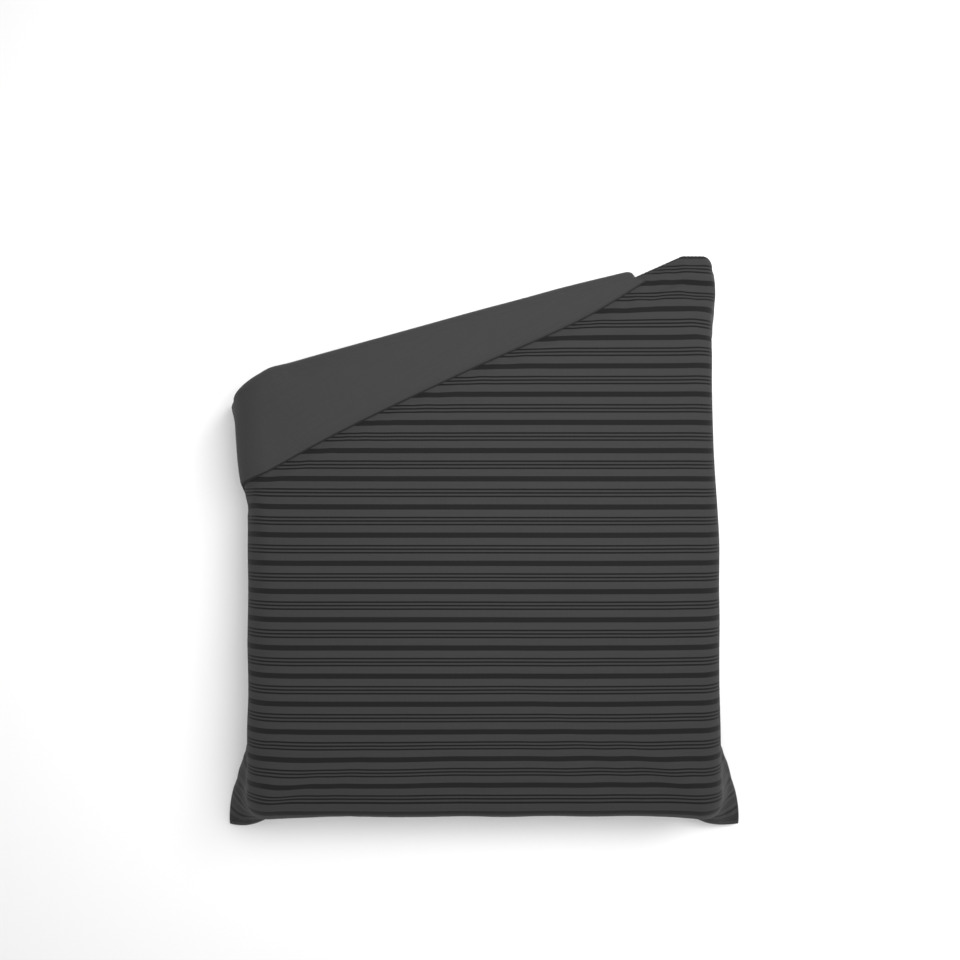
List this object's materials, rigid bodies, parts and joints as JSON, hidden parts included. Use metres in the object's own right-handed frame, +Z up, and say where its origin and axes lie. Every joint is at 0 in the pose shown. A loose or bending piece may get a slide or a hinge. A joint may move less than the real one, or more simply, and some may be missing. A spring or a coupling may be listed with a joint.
{
  "type": "duvet",
  "caption": "Striped double duvet in its cover, draped as on a made bed with one head corner turned back to show the plain reverse; zipped foot opening.",
  "frame": {"origin": "the point of the flat underside that lies over the middle of the mattress width, 1045 mm from the mattress foot edge, at the height of the mattress top", "axes": "+X to the right seen from above with the head up, +Y to the head end, +Z up"},
  "size_m": [1.7768, 1.9004, 0.3543],
  "materials": {
    "cover_face": "matt woven cotton-polyester, yarn-dyed stripes",
    "cover_reverse": "matt plain-woven cotton-polyester",
    "cover_seam": "matt stitched edge",
    "insert_filling": "soft white quilted fabric",
    "insert_binding": "matt white binding tape",
    "tape_cloth": "matt woven tape",
    "zip_nylon": "satin nylon",
    "zip_metal": "satin zinc",
    "label_cloth": "smooth satin ribbon"
  },
  "bodies": {
    "duvet": {"care_label": "label_cloth", "corner_tie_foot_left": "tape_cloth", "corner_tie_foot_right": "tape_cloth", "corner_tie_head_right": "tape_cloth", "cover_face_panel": "cover_face", "cover_reverse_panel": "cover_reverse", "crease_face_cloth": "cover_face", "crease_filling": "insert_filling", "crease_reverse_cloth": "cover_reverse", "foot_seam_left": "cover_seam", "foot_seam_right": "cover_seam", "head_seam": "cover_seam", "insert_binding_foot": "insert_binding", "insert_binding_head": "insert_binding", "insert_binding_left": "insert_binding", "insert_binding_right": "insert_binding", "insert_channel_1": "insert_filling", "insert_channel_2": "insert_filling", "insert_channel_3": "insert_filling", "insert_channel_4": "insert_filling", "insert_channel_5": "insert_filling", "insert_channel_6": "insert_filling", "insert_channel_7": "insert_filling", "insert_channel_8": "insert_filling", "insert_loop_foot_left": "insert_binding", "insert_loop_foot_right": "insert_binding", "insert_loop_head_right": "insert_binding", "side_seam_left": "cover_seam", "side_seam_right": "cover_seam", "zip_chain_face": "zip_nylon", "zip_chain_reverse": "zip_nylon", "zip_stop_left": "zip_metal", "zip_stop_right": "zip_metal", "zip_tape_face": "tape_cloth", "zip_tape_reverse": "tape_cloth"},
    "turned_corner": {"corner_tie_head_left": "tape_cloth", "insert_loop_head_left": "insert_binding", "turned_face_panel": "cover_face", "turned_face_panel_side": "cover_face", "turned_head_seam": "cover_seam", "turned_head_seam_side": "cover_seam", "turned_insert_channel_1": "insert_filling", "turned_insert_channel_2": "insert_filling", "turned_insert_channel_3": "insert_filling", "turned_insert_channel_4": "insert_filling", "turned_insert_channel_5": "insert_filling", "turned_insert_channel_6": "insert_filling", "turned_reverse_panel": "cover_reverse", "turned_reverse_panel_side": "cover_reverse", "turned_side_seam": "cover_seam"},
    "slider": {"zip_slider": "zip_metal"},
    "pull": {"zip_pull": "zip_metal"}
  },
  "joints": [
    {"name": "corner_fold", "type": "hinge", "parent": "duvet", "child": "turned_corner", "pos_m": [0, 0.459, 0.0355], "axis": [-0.9617, -0.274, 0], "range_deg": [0, 180], "deforming": ["crease_face_cloth", "crease_filling", "crease_reverse_cloth", "turned_face_panel_side", "turned_reverse_panel_side", "turned_head_seam_side", "turned_side_seam", "turned_insert_channel_1", "turned_insert_channel_2", "corner_tie_head_left", "insert_loop_head_left"]},
    {"name": "zip_travel", "type": "slide", "parent": "duvet", "child": "slider", "axis": [-1, 0, 0], "range_m": [0, 0.7835]},
    {"name": "pull_swing", "type": "hinge", "parent": "slider", "child": "pull", "pos_m": [0.392, -1.1025, -0.2495], "axis": [0, 1, 0], "range_deg": [-80, 80]}
  ]
}
